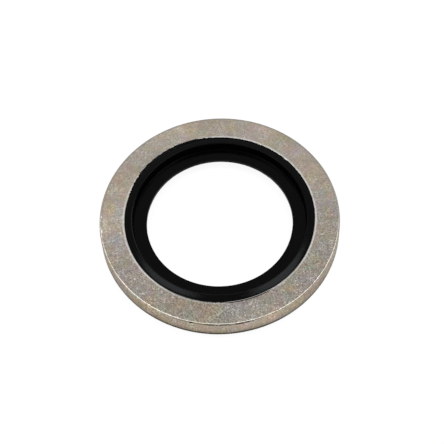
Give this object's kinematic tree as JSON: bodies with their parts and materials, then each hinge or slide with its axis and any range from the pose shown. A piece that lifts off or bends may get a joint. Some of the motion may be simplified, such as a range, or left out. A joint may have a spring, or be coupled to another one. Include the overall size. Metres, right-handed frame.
{
  "type": "bonded sealing washer",
  "caption": "Self-centring bonded seal: a flat zinc-plated steel ring with a black rubber lip and a thin centring web moulded into its bore.",
  "frame": {"origin": "on the axis of the hole, in the plane that the crest of the lower rubber lip rests on", "axes": "+Z along the axis of the hole; the part is round and alike on both faces, so X and Y are free"},
  "size_m": [0.0238, 0.0238, 0.0023],
  "materials": {
    "zinc_plated_steel": "satin",
    "nitrile_rubber": "satin"
  },
  "bodies": {
    "root": {"metal_ring": "zinc_plated_steel", "rubber_seal": "nitrile_rubber"}
  },
  "joints": []
}
